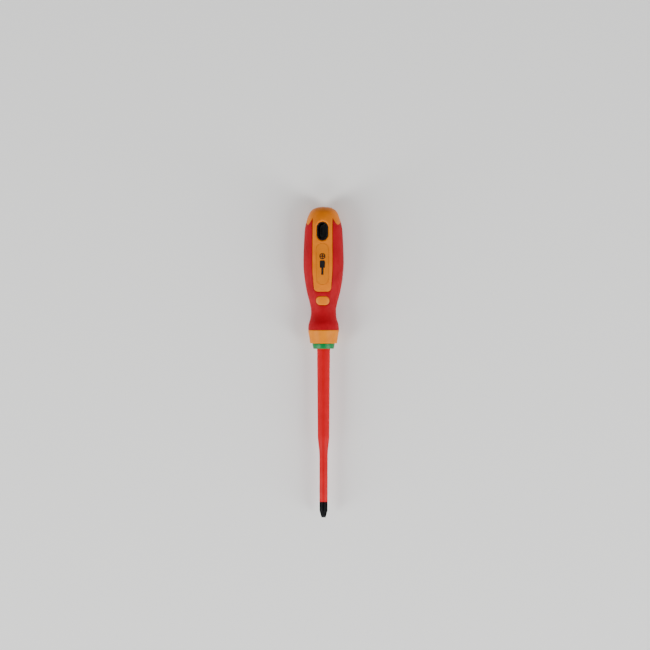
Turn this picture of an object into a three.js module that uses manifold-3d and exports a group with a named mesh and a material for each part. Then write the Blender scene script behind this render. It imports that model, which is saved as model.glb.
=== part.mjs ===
// Insulated screwdriver for cross-slot screws, with a two-colour handle.
//
// Units are millimetres. The tool lies on its back: +Y points from the tip to the butt, +Z points out of
// the label face, and the origin is under the middle of the whole tool, on the surface it rests on.
// Inside the group, y is the distance from the tip and the Y axis is the axis of the blade.

import * as THREE from 'three';
import { mergeVertices } from 'three/addons/utils/BufferGeometryUtils.js';
import Module from 'manifold-3d';

const wasm = await Module();
wasm.setup();

// ---------------------------------------------------------------- driving dimensions

// Lengths along the axis
const bladeReach = 150;
const bareTipLength = 14;
const slimLength = 42;
const stepLength = 16;
const ringLength = 4.8;
const collarLength = 11.8;
const gripLength = 109.6;

// Blade
const tipDiameter = 7.2;
const tipEndDiameter = 3.8;
const tipConeLength = 6.2;
const flutesLength = 10.5;
const fluteCoreRadius = 0.9;
const slimShankDiameter = 5.0;
const shankDiameter = 7.2;
const bladeGripDepth = 78;
const wingWidth = 10.6;
const wingLength = 11;
const wingThickness = 2.8;
const wingSetback = 22;

// Insulation: thickness of the warning layer and of the outer sleeve over it
const slimInnerLayer = 0.45;
const slimOuterLayer = 0.55;
const thickInnerLayer = 0.65;
const thickOuterLayer = 0.75;
const rootOuterLayer = 1.35;
const insulationTail = 22;
const innerLayerInset = 0.4;

// Handle
const handleWidth = 35.8;
const handleDepth = 29.8;
const neckDiameter = 22.2;
const flareDiameter = 27.4;
const gripThickness = 2.6;
const noseWall = 1.3;
const ringFrontDiameter = 18.2;
const ringBackDiameter = 20.2;
const ringFrontWall = 1.3;
const collarFrontDiameter = 24;
const collarBackDiameter = 27.9;

// Where things stand on the handle, measured from the collar or from the butt
const neckPosition = 16.4;
const bellyPosition = 64;
const crownLength = 24;
const crownNarrowing = 1.8;
const flatStartPosition = 55.4;

// Front and back strips, windows and inlays
const stripWidth = 18;
const stripNarrowing = 2.2;
const stripStart = 33.9;
const stripTaperLength = 19;
const stripCornerRadius = 4;
const windowPosition = 26;
const windowWidth = 12.5;
const windowHeight = 7.9;
const plaqueWidth = 11;
const plaqueStart = 40.4;
const plaqueToHole = 2.4;
const plaqueThickness = 1.2;

// Hang hole and the lobes of the butt cap
const holeWidth = 10.4;
const holeLength = 16.6;
const holeFromButt = 21.9;
const linerWall = 0.8;
const linerInset = 0.9;
const lobeFromButt = 16.2;
const lobeAngle = 58;
const lobeRoundness = 1.6;
const stripSpikeRise = 6;
const sideSpikeRise = 3.6;

// Shares of the crown's radius: where the lobes end, and how high the strips' spikes reach
const lobeShare = 0.94;
const spikeShare = 0.67;

// Clearances
const seamGap = 0.3;
const layerGap = 0.1;

// ---------------------------------------------------------------- places that follow from them

const stepStart = bareTipLength + slimLength;
const stepEnd = stepStart + stepLength;
const ringStart = bladeReach;
const collarStart = ringStart + ringLength;
const gripStart = collarStart + collarLength;
const buttEnd = gripStart + gripLength;
const bladeEnd = bladeReach + bladeGripDepth;
const wingCentre = bladeEnd - wingSetback;
const insulationEnd = bladeReach + insulationTail;
const holeCentre = buttEnd - holeFromButt;
const holeFront = holeCentre - holeLength / 2;
const plaqueBack = holeFront - plaqueToHole;
const lobeEnd = buttEnd - lobeFromButt;
const bellyRadius = handleWidth / 2;
const neckRadius = neckDiameter / 2;
const halfDepth = handleDepth / 2;
const crownRadius = (handleWidth - crownNarrowing) / 2;
const lobeRadius = crownRadius * lobeShare;
const spikeEndHeight = crownRadius * spikeShare;
const warningLayer = layerRadii(
  { slim: slimShankDiameter / 2, thick: shankDiameter / 2, root: shankDiameter / 2 },
  { slim: slimInnerLayer, thick: thickInnerLayer, root: thickInnerLayer },
);
const outerSleeve = layerRadii(
  warningLayer.outside,
  { slim: slimOuterLayer, thick: thickOuterLayer, root: rootOuterLayer },
);
const noseBore = outerSleeve.outside.root + seamGap;
const noseRadius = noseBore + noseWall;

// Round pieces share their number of sides, so that nested faces stay parallel. The cap's scalloped edge
// needs more, and the bore for the blade, which touches nothing, fewer.
const roundSides = 36;
const crownSides = 72;
const boreSides = 32;

// Steps of the smooth outlines: outside of the handle, body under the grip, fade of the flats
const outsideSteps = 30;
const innerSteps = 20;
const flatSteps = 12;

const wellOutside = handleWidth;

/** Inside and outside radii of a sleeve that lies on a core, at its slim, thick and root stations. */
function layerRadii(under, thickness) {
  const inside = {};
  const outside = {};
  for (const station of Object.keys(under)) {
    inside[station] = under[station] + layerGap;
    outside[station] = inside[station] + thickness[station];
  }
  return { inside, outside };
}

// ---------------------------------------------------------------- solids

/** Turn a closed three.js geometry into a manifold-3d solid. */
function solid(geometry) {
  const bare = geometry.index ? geometry.toNonIndexed() : geometry.clone();
  for (const name of Object.keys(bare.attributes)) {
    if (name !== 'position') bare.deleteAttribute(name);
  }
  const merged = mergeVertices(bare, 1e-4);
  return new wasm.Manifold(new wasm.Mesh({
    numProp: 3,
    vertProperties: new Float32Array(merged.attributes.position.array),
    triVerts: new Uint32Array(merged.index.array),
  }));
}

/** Turn a manifold-3d solid back into a three.js geometry. */
function geometryOf(body) {
  const mesh = body.getMesh();
  const geometry = new THREE.BufferGeometry();
  geometry.setAttribute('position', new THREE.BufferAttribute(mesh.vertProperties, mesh.numProp));
  geometry.setIndex(new THREE.BufferAttribute(mesh.triVerts, 1));
  geometry.computeVertexNormals();
  return geometry;
}

/** Revolve [radius, y] points round the Y axis. Ends off the axis are joined to close the profile. */
function revolved(points, sides = roundSides) {
  const outline = points.map(([radius, y]) => new THREE.Vector2(radius, y));
  const first = outline[0];
  const last = outline[outline.length - 1];
  if (first.x > 0 || last.x > 0) outline.push(first.clone());
  const body = solid(new THREE.LatheGeometry(outline, sides));
  return body.volume() < 0 ? revolved([...points].reverse(), sides) : body;
}

/** Extrude a plan outline (x across, y along the axis) between two heights. */
function plate(shape, zLow, zHigh, curveSegments = 10) {
  const options = { depth: zHigh - zLow, bevelEnabled: false, curveSegments };
  return solid(new THREE.ExtrudeGeometry(shape, options).translate(0, 0, zLow));
}

/** The same plan outline cut both ways: the part in front of the middle, then the part behind it. */
function frontAndBack(shape, zLow) {
  return plate(shape, zLow, wellOutside).add(plate(shape, -wellOutside, -zLow));
}

// ---------------------------------------------------------------- outlines

/** Smooth [radius, y] points through the given ones. */
function smoothed(points, count) {
  const curve = new THREE.SplineCurve(points.map(([radius, y]) => new THREE.Vector2(radius, y)));
  return curve.getPoints(count).map((point) => [Math.max(point.x, 0), point.y]);
}

/** A value part of the way from the neck's radius to a wider one. */
function fromNeck(wide, share) {
  return neckRadius + (wide - neckRadius) * share;
}

/** Side of the handle from the collar to the start of the crown, as if it were round all over. */
function gripSide() {
  const flareRadius = flareDiameter / 2;
  const rise = bellyPosition - neckPosition;
  return [
    [flareRadius, gripStart],
    [fromNeck(flareRadius, 0.86), gripStart + neckPosition * 0.3],
    [fromNeck(flareRadius, 0.3), gripStart + neckPosition * 0.6],
    [neckRadius, gripStart + neckPosition],
    [fromNeck(bellyRadius, 0.15), gripStart + neckPosition + rise * 0.15],
    [fromNeck(bellyRadius, 0.52), gripStart + neckPosition + rise * 0.35],
    [fromNeck(bellyRadius, 0.78), gripStart + neckPosition + rise * 0.55],
    [fromNeck(bellyRadius, 0.96), gripStart + neckPosition + rise * 0.77],
    [bellyRadius, gripStart + bellyPosition],
  ];
}

/** Rounded crown of the butt, from the widest part to the axis. */
function crownSide() {
  return [
    [crownRadius, buttEnd - crownLength],
    [lobeRadius, buttEnd - crownLength * 0.67],
    [crownRadius * 0.83, buttEnd - crownLength * 0.4],
    [crownRadius * 0.71, buttEnd - crownLength * 0.2],
    [crownRadius * 0.53, buttEnd - crownLength * 0.08],
    [crownRadius * 0.28, buttEnd - crownLength * 0.015],
    [0, buttEnd],
  ];
}

/** Half-depth outline of the front and back flats, from the neck to past the butt. */
function flatSide() {
  const rise = flatStartPosition - neckPosition;
  const planarStart = gripStart + flatStartPosition;
  return [
    ...smoothed([
      [neckRadius + seamGap, gripStart + neckPosition],
      [fromNeck(halfDepth, 0.24), gripStart + neckPosition + rise * 0.2],
      [fromNeck(halfDepth, 0.5), gripStart + neckPosition + rise * 0.45],
      [fromNeck(halfDepth, 0.75), gripStart + neckPosition + rise * 0.65],
      [fromNeck(halfDepth, 0.93), gripStart + neckPosition + rise * 0.83],
      [halfDepth, planarStart],
    ], flatSteps),
    [halfDepth, buttEnd + seamGap],
  ];
}

/** Rounded strip outline, growing past its true edge by a margin. */
function stripShape(margin = 0) {
  const low = gripStart + stripStart - margin;
  const half = stripWidth / 2 + margin;
  const endHalf = half - stripNarrowing / 2;
  const corner = stripCornerRadius + margin;
  const straight = low + stripTaperLength;
  const high = buttEnd + wellOutside;
  const shape = new THREE.Shape();
  shape.moveTo(-half, high);
  shape.lineTo(-half, straight);
  shape.lineTo(-endHalf, low + corner);
  shape.quadraticCurveTo(-endHalf, low, -endHalf + corner, low);
  shape.lineTo(endHalf - corner, low);
  shape.quadraticCurveTo(endHalf, low, endHalf, low + corner);
  shape.lineTo(half, straight);
  shape.lineTo(half, high);
  shape.closePath();
  return shape;
}

/** Outline with two straight sides and two round ends, long in whichever direction is longer. */
function slotShape(centreY, width, length, margin = 0) {
  const radius = Math.min(width, length) / 2 + margin;
  const reachX = Math.max(width - length, 0) / 2;
  const reachY = Math.max(length - width, 0) / 2;
  const shape = new THREE.Shape();
  if (reachX > 0) {
    shape.absarc(reachX, centreY, radius, -Math.PI / 2, Math.PI / 2, false);
    shape.absarc(-reachX, centreY, radius, Math.PI / 2, Math.PI * 1.5, false);
  } else {
    shape.absarc(0, centreY + reachY, radius, 0, Math.PI, false);
    shape.absarc(0, centreY - reachY, radius, Math.PI, Math.PI * 2, false);
  }
  shape.closePath();
  return shape;
}

function windowShape(margin = 0) {
  return slotShape(gripStart + windowPosition, windowWidth, windowHeight, margin);
}

function plaqueShape(margin = 0) {
  const start = gripStart + plaqueStart;
  return slotShape((start + plaqueBack) / 2, plaqueWidth, plaqueBack - start, margin);
}

function holeShape(margin = 0) {
  return slotShape(holeCentre, holeWidth, holeLength, margin);
}

// ---------------------------------------------------------------- regions of the handle

/** Slab between the front and back flats, which lie an inset under the handle's surface. */
function betweenFlats(inset = 0) {
  const flats = flatSide().map(([depth, y]) => [depth - inset, y]);
  const outline = new THREE.Shape();
  outline.moveTo(-wellOutside, gripStart - wellOutside);
  outline.lineTo(-wellOutside, flats[0][1]);
  for (const [depth, y] of flats) outline.lineTo(-depth, y);
  for (const [depth, y] of [...flats].reverse()) outline.lineTo(depth, y);
  outline.lineTo(wellOutside, flats[0][1]);
  outline.lineTo(wellOutside, gripStart - wellOutside);
  outline.closePath();
  const slab = new THREE.ExtrudeGeometry(outline, { depth: 2 * wellOutside, bevelEnabled: false });
  slab.translate(0, 0, -wellOutside).rotateY(Math.PI / 2);
  return solid(slab);
}

/** Whole outside of the grip and the butt, with its front and back flats. */
function handleOutside() {
  const side = smoothed([...gripSide(), ...crownSide()], outsideSteps);
  return revolved([[0, gripStart], ...side]).intersect(betweenFlats());
}

/** Hard body under the soft grip, growing by a margin for the grip's own inside. */
function innerBody(margin = 0) {
  const side = smoothed([...gripSide(), ...crownSide().slice(0, 3)], innerSteps);
  const inner = side.map(([radius, y]) => [radius - gripThickness + margin, y]);
  inner[0][1] -= margin;
  const top = inner[inner.length - 1];
  const round = revolved([[0, inner[0][1]], ...inner, [0, top[1] + margin]]);
  return round.intersect(betweenFlats(gripThickness - margin));
}

/** How far above the lobes' ends the cap's edge stands, at an angle round the axis from the front. */
function capEdgeRise(angle) {
  const fromFlat = Math.abs(THREE.MathUtils.radToDeg(Math.asin(Math.sin(angle))));
  const stripAngle = THREE.MathUtils.radToDeg(Math.atan2(stripWidth / 2, spikeEndHeight));
  if (fromFlat > lobeAngle) {
    return sideSpikeRise * ((fromFlat - lobeAngle) / (90 - lobeAngle)) ** lobeRoundness;
  }
  const towardsStrip = Math.min((lobeAngle - fromFlat) / (lobeAngle - stripAngle), 1);
  return stripSpikeRise * towardsStrip ** lobeRoundness;
}

/** Everything above the scalloped edge of the butt cap, growing by a margin. */
function capRegion(margin = 0) {
  // Beside the strips the edge is steep, so it has to drop by twice the gap to keep it.
  const drop = 2 * margin;
  const flatRadius = (lobeRadius - gripThickness) * 0.7;
  const edgeRadius = (lobeRadius - gripThickness) * 0.8;
  const top = buttEnd + wellOutside;
  const geometry = new THREE.LatheGeometry([
    new THREE.Vector2(0, lobeEnd - drop),
    new THREE.Vector2(flatRadius, lobeEnd - drop),
    new THREE.Vector2(edgeRadius, lobeEnd - drop),
    new THREE.Vector2(wellOutside, lobeEnd - drop),
    new THREE.Vector2(wellOutside, top),
    new THREE.Vector2(0, top),
  ], crownSides);
  const position = geometry.attributes.position;
  for (let i = 0; i < position.count; i += 1) {
    const x = position.getX(i);
    const z = position.getZ(i);
    const onEdge = position.getY(i) < top && Math.hypot(x, z) > (flatRadius + edgeRadius) / 2;
    if (onEdge) position.setY(i, position.getY(i) + capEdgeRise(Math.atan2(x, z)));
  }
  return solid(geometry);
}

/** Parts of the hard core that come up to the handle's surface. */
function landRegion(margin = 0) {
  const stripRoot = 2;
  return capRegion(margin)
    .add(frontAndBack(stripShape(margin), stripRoot))
    .add(frontAndBack(windowShape(margin), stripRoot));
}

/** Height of the underside of the front inlay. */
function plaqueFloor() {
  const start = gripStart + plaqueStart;
  const flats = flatSide();
  const above = flats.find(([, y]) => y >= start);
  const below = flats[flats.indexOf(above) - 1];
  const share = (start - below[1]) / (above[1] - below[1]);
  return below[0] + (above[0] - below[0]) * share - plaqueThickness;
}

// ---------------------------------------------------------------- the pieces

/** Steel blade: fluted tip, turned-down front, full shank and the two wings that hold it in the core. */
function blade() {
  const tipRadius = tipDiameter / 2;
  const slimRadius = slimShankDiameter / 2;
  const shankRadius = shankDiameter / 2;
  const endChamfer = 0.8;
  let body = revolved([
    [0, 0],
    [tipEndDiameter / 2, 0],
    [tipRadius, tipConeLength],
    [tipRadius, bareTipLength - layerGap],
    [slimRadius, bareTipLength - layerGap],
    [slimRadius, stepStart],
    [shankRadius, stepEnd],
    [shankRadius, bladeEnd - endChamfer],
    [shankRadius - endChamfer, bladeEnd],
    [0, bladeEnd],
  ]);
  const wings = new THREE.BoxGeometry(wingWidth, wingLength, wingThickness).translate(0, wingCentre, 0);
  body = body.add(solid(wings));
  const runOutRise = tipRadius + layerGap - fluteCoreRadius;
  const lean = Math.atan2(runOutRise, flutesLength);
  for (let i = 0; i < 4; i += 1) {
    const flute = new THREE.BoxGeometry(tipDiameter, 4 * flutesLength, tipDiameter);
    flute.rotateY(Math.PI / 4);
    flute.translate(0, 0, tipDiameter / Math.SQRT2);
    flute.rotateX(lean);
    flute.translate(0, 0, fluteCoreRadius);
    flute.rotateY(Math.PI / 4 + (i * Math.PI) / 2);
    body = body.subtract(solid(flute));
  }
  return body;
}

/** One layer of insulation, from a start near the tip to its end inside the handle. */
function insulationLayer({ inside, outside }, start) {
  return revolved([
    [inside.slim, start],
    [outside.slim, start],
    [outside.slim, stepStart],
    [outside.thick, stepEnd],
    [outside.root, bladeReach],
    [outside.root, insulationEnd],
    [inside.root, insulationEnd],
    [inside.root, bladeReach],
    [inside.thick, stepEnd],
    [inside.slim, stepStart],
  ]);
}

function insulationInner() {
  return insulationLayer(warningLayer, bareTipLength + innerLayerInset);
}

function insulationOuter() {
  return insulationLayer(outerSleeve, bareTipLength);
}

/** Green ring: a shallow cup over the end of the core's nose. */
function colourRing() {
  const edge = 0.6;
  const frontRadius = ringFrontDiameter / 2;
  return revolved([
    [noseBore, ringStart],
    [frontRadius - edge, ringStart],
    [frontRadius, ringStart + edge],
    [ringBackDiameter / 2, collarStart - seamGap],
    [noseRadius + seamGap, collarStart - seamGap],
    [noseRadius + seamGap, ringStart + ringFrontWall],
    [noseBore, ringStart + ringFrontWall],
  ]);
}

/** Flared finger guard round the nose, between the ring and the grip. */
function collar() {
  const edge = 0.5;
  const backRadius = collarBackDiameter / 2;
  const back = gripStart - seamGap;
  return revolved([
    [noseRadius + seamGap, collarStart],
    [collarFrontDiameter / 2 - edge, collarStart],
    [collarFrontDiameter / 2, collarStart + edge],
    [backRadius, back - edge],
    [backRadius - edge, back],
    [noseRadius + seamGap, back],
  ]);
}

/** Space for the insulated blade and its wings inside the core. */
function bladePocket() {
  const shankBore = shankDiameter / 2 + seamGap;
  const bore = revolved([
    [0, ringStart],
    [noseBore, ringStart],
    [noseBore, insulationEnd + seamGap],
    [shankBore, insulationEnd + seamGap],
    [shankBore, bladeEnd + seamGap],
    [0, bladeEnd + seamGap],
  ], boreSides);
  const slot = new THREE.BoxGeometry(
    wingWidth + 2 * seamGap,
    wingLength + 2 * seamGap,
    wingThickness + 2 * seamGap,
  );
  return bore.add(solid(slot.translate(0, wingCentre, 0)));
}

/** Hard core: nose, body under the grip, both strips and windows, and the butt cap in one moulding. */
function handleCore() {
  const nose = revolved([
    [0, ringStart + ringFrontWall + seamGap],
    [noseRadius, ringStart + ringFrontWall + seamGap],
    [noseRadius, gripStart + gripThickness],
    [0, gripStart + gripThickness],
  ]);
  return nose
    .add(innerBody())
    .add(handleOutside().intersect(landRegion()))
    .subtract(bladePocket())
    .subtract(plate(holeShape(), -wellOutside, wellOutside))
    .subtract(frontAndBack(plaqueShape(seamGap), plaqueFloor() - seamGap));
}

/** Soft grip: the outer layer of the handle with openings for everything that comes through it. */
function softGrip() {
  return handleOutside().subtract(innerBody(seamGap)).subtract(landRegion(seamGap));
}

/** Thin sleeve lining the hang hole, set back from both faces. */
function hangHoleLiner() {
  const reach = halfDepth - linerInset;
  return plate(holeShape(-seamGap), -reach, reach)
    .subtract(plate(holeShape(-seamGap - linerWall), -wellOutside, wellOutside));
}

/** Label inlay, flush with the strip. The side is 1 for the front and -1 for the back. */
function plaque(side) {
  const low = side > 0 ? plaqueFloor() : -wellOutside;
  const high = side > 0 ? wellOutside : -plaqueFloor();
  return handleOutside().intersect(plate(plaqueShape(), low, high));
}

// ---------------------------------------------------------------- the scene

const finishes = {
  blackenedSteel: { color: 0x1a1a1c, roughness: 0.4, metalness: 0.9 },
  redInsulation: { color: 0xd21a1a, roughness: 0.35, metalness: 0 },
  yellowInsulation: { color: 0xf0c020, roughness: 0.5, metalness: 0 },
  orangeYellowCore: { color: 0xe68a10, roughness: 0.35, metalness: 0 },
  redSoftPlastic: { color: 0xbb1a1c, roughness: 0.65, metalness: 0 },
  yellowCollar: { color: 0xf5ac38, roughness: 0.35, metalness: 0 },
  greenRing: { color: 0x149048, roughness: 0.3, metalness: 0 },
  blackLiner: { color: 0x0c0c0d, roughness: 0.6, metalness: 0 },
  labelInlay: { color: 0xe08a1c, roughness: 0.45, metalness: 0 },
};

const pieces = [
  ['blade', blade(), finishes.blackenedSteel],
  ['insulation_inner', insulationInner(), finishes.yellowInsulation],
  ['insulation_outer', insulationOuter(), finishes.redInsulation],
  ['colour_ring', colourRing(), finishes.greenRing],
  ['collar', collar(), finishes.yellowCollar],
  ['handle_core', handleCore(), finishes.orangeYellowCore],
  ['soft_grip', softGrip(), finishes.redSoftPlastic],
  ['hang_hole_liner', hangHoleLiner(), finishes.blackLiner],
  ['front_plaque', plaque(1), finishes.labelInlay],
  ['back_plaque', plaque(-1), finishes.labelInlay],
];

const screwdriver = new THREE.Group();
screwdriver.name = 'insulated_screwdriver';
screwdriver.position.set(0, -buttEnd / 2, halfDepth);
for (const [name, body, finish] of pieces) {
  const mesh = new THREE.Mesh(geometryOf(body), new THREE.MeshStandardMaterial(finish));
  mesh.name = name;
  screwdriver.add(mesh);
}

export default screwdriver;
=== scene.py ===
"""Insulated cross-slot screwdriver, lying on its back on a pale studio floor.

Pieces are modelled in bench millimetres: x runs across the handle, y is the distance from the tip and
z is the height over the blade's axis, towards the label face. Bench.place() turns a finished mesh into
the frame's metres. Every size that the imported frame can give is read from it.
"""

import logging
import math
from collections.abc import Callable, Sequence
from dataclasses import dataclass, field
from enum import Enum

import bmesh
import bpy
import numpy as np
from mathutils import Matrix, Vector


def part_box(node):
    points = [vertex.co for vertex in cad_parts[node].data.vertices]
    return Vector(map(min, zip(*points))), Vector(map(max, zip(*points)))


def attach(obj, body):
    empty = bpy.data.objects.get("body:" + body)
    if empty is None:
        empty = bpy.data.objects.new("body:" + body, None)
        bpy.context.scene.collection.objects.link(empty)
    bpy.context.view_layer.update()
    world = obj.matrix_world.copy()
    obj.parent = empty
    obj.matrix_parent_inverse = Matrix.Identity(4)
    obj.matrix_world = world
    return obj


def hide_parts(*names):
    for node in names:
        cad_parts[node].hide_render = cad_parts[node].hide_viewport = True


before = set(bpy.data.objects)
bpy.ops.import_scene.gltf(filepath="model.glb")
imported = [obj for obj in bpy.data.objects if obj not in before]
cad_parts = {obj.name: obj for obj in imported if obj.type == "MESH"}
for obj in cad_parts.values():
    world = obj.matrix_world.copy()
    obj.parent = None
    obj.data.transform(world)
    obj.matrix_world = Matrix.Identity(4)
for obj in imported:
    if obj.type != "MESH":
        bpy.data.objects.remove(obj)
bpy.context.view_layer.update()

LOG = logging.getLogger("screwdriver")
MM = 0.001
BODY = "root"
# More than any distance on the tool, in millimetres.
FAR = 1e3
# An edge that turns by more than this many degrees is shaded sharp.
SHARP_ANGLE = 35.0
Points = Sequence[tuple[float, float]]
Field = Callable[[np.ndarray, np.ndarray], np.ndarray]


class Side(Enum):
    """Which face of the handle a piece sits in."""

    FRONT = 1
    BACK = -1


# ---------------------------------------------------------------------------- places and shapes


def node_box(node: str) -> tuple[Vector, Vector]:
    """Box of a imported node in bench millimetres, before the bench's own origin is taken off.

    Args:
        node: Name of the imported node.

    Returns:
        Its lowest and highest corners.
    """
    low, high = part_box(node)
    return low / MM, high / MM


@dataclass(frozen=True)
class Bench:
    """Origin of the bench millimetres inside the frame, and the stations that the frame fixes."""

    tip: float = node_box("blade")[0].y
    axis: float = (node_box("collar")[0].z + node_box("collar")[1].z) / 2

    def span(self, node: str) -> tuple[float, float]:
        """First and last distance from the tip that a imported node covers."""
        low, high = node_box(node)
        return low.y - self.tip, high.y - self.tip

    def width(self, node: str) -> float:
        """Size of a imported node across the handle."""
        low, high = node_box(node)
        return high.x - low.x

    def depth(self, node: str) -> float:
        """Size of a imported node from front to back."""
        low, high = node_box(node)
        return high.z - low.z

    def place(self, bm: bmesh.types.BMesh) -> None:
        """Move a mesh from bench millimetres to frame metres."""
        bmesh.ops.translate(bm, vec=(0.0, self.tip, self.axis), verts=bm.verts)
        bmesh.ops.scale(bm, vec=(MM, MM, MM), verts=bm.verts)


BENCH = Bench()


def smooth_path(points: Points, count: int) -> np.ndarray:
    """Sample a uniform Catmull-Rom curve through the given points.

    Args:
        points: Pairs that the curve passes through.
        count: Number of equal steps along the curve's parameter.

    Returns:
        An array of count + 1 sampled pairs.
    """
    known = np.array(points, float)
    last = len(known) - 1
    place = np.linspace(0.0, last, count + 1)
    index = np.minimum(place.astype(int), last - 1)
    t = (place - index)[:, None]
    before = known[np.maximum(index - 1, 0)]
    start = known[index]
    end = known[index + 1]
    after = known[np.minimum(index + 2, last)]
    leave = (end - before) / 2
    arrive = (after - start) / 2
    cubic = 2 * start - 2 * end + leave + arrive
    square = -3 * start + 3 * end - 2 * leave - arrive
    return ((cubic * t + square) * t + leave) * t + start


def even_steps(path: np.ndarray, spacing: float) -> np.ndarray:
    """Resample a polyline at equal steps of arc length."""
    steps = np.hypot(*np.diff(path, axis=0).T)
    travelled = np.concatenate([[0.0], np.cumsum(steps)])
    wanted = np.linspace(0.0, travelled[-1], round(travelled[-1] / spacing) + 1)
    return np.stack([np.interp(wanted, travelled, path[:, 0]), np.interp(wanted, travelled, path[:, 1])], 1)


def soft_minimum(a: np.ndarray, b: np.ndarray, blend: float) -> np.ndarray:
    """Smaller of two heights, rounded where they meet."""
    share = np.clip(0.5 + (b - a) / (2 * blend), 0.0, 1.0)
    return b + (a - b) * share - blend * share * (1 - share)


def edge_round(inside: np.ndarray, radius: float) -> np.ndarray:
    """Depth of a quarter-round edge at a distance inside the edge."""
    reach = np.clip(radius - inside, 0.0, radius)
    return radius - np.sqrt(radius**2 - reach**2)


def slot_distance(x: np.ndarray, y: np.ndarray, centre: float, width: float, length: float) -> np.ndarray:
    """Distance outside a slot with round ends, negative inside it.

    Args:
        x: Positions across the handle.
        y: Distances from the tip.
        centre: Distance of the slot's middle from the tip.
        width: Size of the slot across the handle.
        length: Size of the slot along the handle.

    Returns:
        Signed distances in the plan view.
    """
    radius = min(width, length) / 2
    over_x = np.maximum(np.abs(x) - max(width - length, 0.0) / 2, 0.0)
    over_y = np.maximum(np.abs(y - centre) - max(length - width, 0.0) / 2, 0.0)
    return np.hypot(over_x, over_y) - radius


@dataclass(frozen=True)
class HandleForm:
    """Outside of the handle: a turned body with a flat pressed into its front and back."""

    grip_start: float = BENCH.span("soft_grip")[0]
    butt: float = BENCH.span("handle_core")[1]
    belly_radius: float = BENCH.width("soft_grip") / 2
    flat_height: float = BENCH.depth("handle_core") / 2
    flare_radius: float = 13.7
    neck_radius: float = 11.1
    neck_at: float = 16.4
    belly_at: float = 64.0
    planar_at: float = 55.4
    crown_length: float = 24.0
    crown_narrowing: float = 0.9
    flat_blend: float = 0.7
    dome_cap: float = 2.5
    outline_steps: int = 1200
    flat_steps: int = 200

    def _from_neck(self, wide: float, share: float) -> float:
        """Value part of the way from the neck's radius to a wider one."""
        return self.neck_radius + (wide - self.neck_radius) * share

    def side(self) -> np.ndarray:
        """Turned outline from the collar to the butt, as fine [radius, y] pairs."""
        rise = self.belly_at - self.neck_at
        shares_down = ((0.0, 1.0), (0.3, 0.86), (0.6, 0.3), (1.0, 0.0))
        shares_up = ((0.15, 0.15), (0.35, 0.52), (0.55, 0.78), (0.77, 0.96), (1.0, 1.0))
        crown = self.belly_radius - self.crown_narrowing
        shares_crown = (
            (1.0, 1.0), (0.67, 0.94), (0.4, 0.83), (0.2, 0.71), (0.08, 0.53), (0.015, 0.28), (0.0, 0.0),
        )
        points = [
            (self._from_neck(self.flare_radius, share), self.grip_start + self.neck_at * at)
            for at, share in shares_down
        ]
        points += [
            (self._from_neck(self.belly_radius, share), self.grip_start + self.neck_at + rise * at)
            for at, share in shares_up
        ]
        points += [(crown * share, self.butt - self.crown_length * at) for at, share in shares_crown]
        path = smooth_path(points, self.outline_steps)
        path[:, 0] = np.clip(path[:, 0], 0.0, self.belly_radius)
        return path

    def radius(self, y: np.ndarray) -> np.ndarray:
        """Turned radius at a distance from the tip."""
        path = self.side()
        return np.interp(y, path[:, 1], path[:, 0])

    def flat(self, y: np.ndarray) -> np.ndarray:
        """Height of the front flat over the axis at a distance from the tip."""
        rise = self.planar_at - self.neck_at
        shares = ((0.0, 0.08), (0.2, 0.24), (0.45, 0.5), (0.65, 0.75), (0.83, 0.93), (1.0, 1.0))
        points = [
            (self._from_neck(self.flat_height, share), self.grip_start + self.neck_at + rise * at)
            for at, share in shares
        ]
        path = smooth_path(points, self.flat_steps)
        low_end = self.flat_height * 2
        height = np.interp(y, path[:, 1], path[:, 0])
        return np.where(y < path[0, 1], low_end, height)

    def point(self, angle: np.ndarray, y: np.ndarray) -> np.ndarray:
        """Points of the finished outside.

        Args:
            angle: Angles round the axis from the label face, in radians.
            y: Distances from the tip.

        Returns:
            An array of x, y, z rows.
        """
        radius = self.radius(y)
        height = radius * np.cos(angle)
        pressed = soft_minimum(np.abs(height), self.flat(y), self.flat_blend)
        pressed = np.minimum(np.maximum(pressed, 0.0), np.abs(height))
        return np.stack([radius * np.sin(angle), y, np.copysign(pressed, height)], 1)

    def normal(self, angle: np.ndarray, y: np.ndarray) -> np.ndarray:
        """Outward unit normals of the finished outside, at the same places as point()."""
        turn, move = 2e-3, 0.05
        across = self.point(angle + turn, y) - self.point(angle - turn, y)
        along = self.point(angle, y + move) - self.point(angle, y - move)
        normal = np.cross(across, along)
        return normal / np.maximum(np.linalg.norm(normal, axis=1), 1e-9)[:, None]


FORM = HandleForm()


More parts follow.
